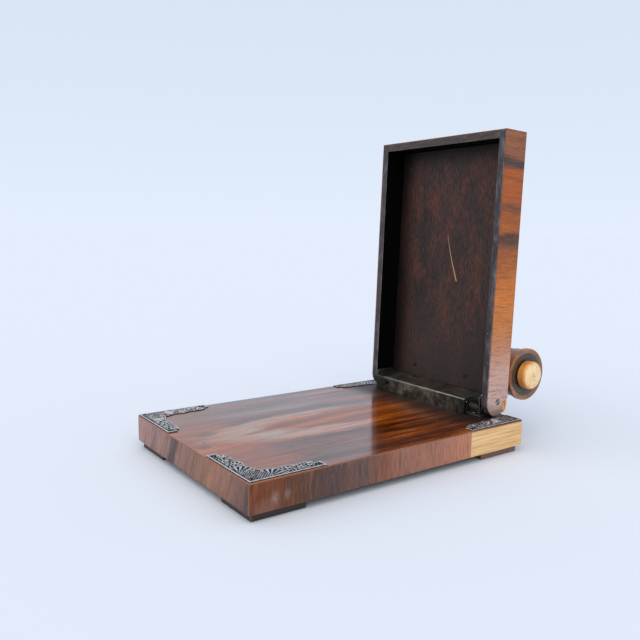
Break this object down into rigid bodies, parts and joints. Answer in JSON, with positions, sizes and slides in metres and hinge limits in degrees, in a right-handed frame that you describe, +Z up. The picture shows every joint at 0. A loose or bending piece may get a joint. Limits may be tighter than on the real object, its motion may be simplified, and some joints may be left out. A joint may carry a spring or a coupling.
{
  "type": "desk ink blotter",
  "caption": "Veneered wooden board with metal corner mounts and a hinged tray lid; a turned roller with end knobs sits behind the lid and a sprung steel bar grips paper at the hinge.",
  "frame": {"origin": "middle of the whole object seen from above, on the surface it stands on", "axes": "+Z up, +Y from the front edge of the board towards the hinge and the roller, +X to the right seen from the front"},
  "size_m": [0.2104, 0.3553, 0.3031],
  "materials": {
    "walnut_top": "french polish, worn",
    "crossband": "french polish, worn",
    "pine_core": "sawn",
    "oak_patch": "bare, planed",
    "dark_stained": "stained, waxed",
    "foot_wood": "stained",
    "silver": "repousse silver with dark recesses",
    "steel_patinated": "darkened sheet steel",
    "steel_bright": "turned, worn",
    "amber": "polished phenolic",
    "butterscotch": "polished phenolic",
    "dark_facing": "dull",
    "drum_wood": "waxed"
  },
  "bodies": {
    "base": {"base_core": "pine_core", "base_top_veneer": "walnut_top", "front_banding": "crossband", "rear_banding": "crossband", "left_banding": "crossband", "right_banding": "crossband", "oak_edge_patch": "oak_patch", "foot_front_left": "foot_wood", "foot_front_right": "foot_wood", "foot_rear_left": "foot_wood", "foot_rear_right": "foot_wood", "silver_corner_front_left": "silver", "silver_corner_front_right": "silver", "silver_corner_rear_left": "silver", "silver_corner_rear_right": "silver", "pin_front_left_tip": "silver", "pin_front_left_side": "silver", "pin_front_left_end": "silver", "pin_front_right_tip": "silver", "pin_front_right_side": "silver", "pin_front_right_end": "silver", "pin_rear_left_tip": "silver", "pin_rear_left_side": "silver", "pin_rear_left_end": "silver", "pin_rear_right_tip": "silver", "pin_rear_right_side": "silver", "pin_rear_right_end": "silver", "hinge_ear_left": "steel_patinated", "hinge_ear_right": "steel_patinated", "clamp_rod": "steel_bright", "clamp_spring_left": "steel_bright", "clamp_spring_right": "steel_bright", "ear_screw_left_1": "steel_bright", "ear_screw_left_2": "steel_bright", "ear_screw_right_1": "steel_bright", "ear_screw_right_2": "steel_bright", "lid_pivot_screw_left": "steel_bright", "lid_pivot_screw_right": "steel_bright"},
    "lid": {"lid_rail_left": "dark_stained", "lid_rail_right": "dark_stained", "lid_end_rail": "dark_stained", "lid_panel": "dark_stained", "lid_veneer_left": "crossband", "lid_veneer_right": "crossband", "lid_veneer_back": "walnut_top", "lid_veneer_end": "crossband", "roller_bracket_left": "steel_patinated", "roller_bracket_right": "steel_patinated", "bracket_screw_left": "steel_bright", "bracket_screw_right": "steel_bright"},
    "clamp": {"clamp_bar": "steel_patinated"},
    "roller": {"roller_drum": "drum_wood", "roller_spindle": "steel_bright", "roller_wheel_left": "amber", "roller_wheel_right": "amber", "wheel_facing_left": "dark_facing", "wheel_facing_right": "dark_facing", "knob_button_left": "butterscotch", "knob_button_right": "butterscotch"}
  },
  "joints": [
    {"name": "lid_hinge", "type": "hinge", "parent": "base", "child": "lid", "pos_m": [0, 0.10935, 0.046], "axis": [1, 0, 0], "range_deg": [0, 91.75]},
    {"name": "clamp_pivot", "type": "hinge", "parent": "base", "child": "clamp", "pos_m": [0, 0.09885, 0.039], "axis": [-1, 0, 0], "range_deg": [0, 16], "stiffness_Nm_per_rad": 0.25, "springref_deg": -28.65},
    {"name": "roller_spin", "type": "hinge", "parent": "lid", "child": "roller", "pos_m": [0, 0.15165, 0.06852], "axis": [1, 0, 0], "continuous": true}
  ]
}
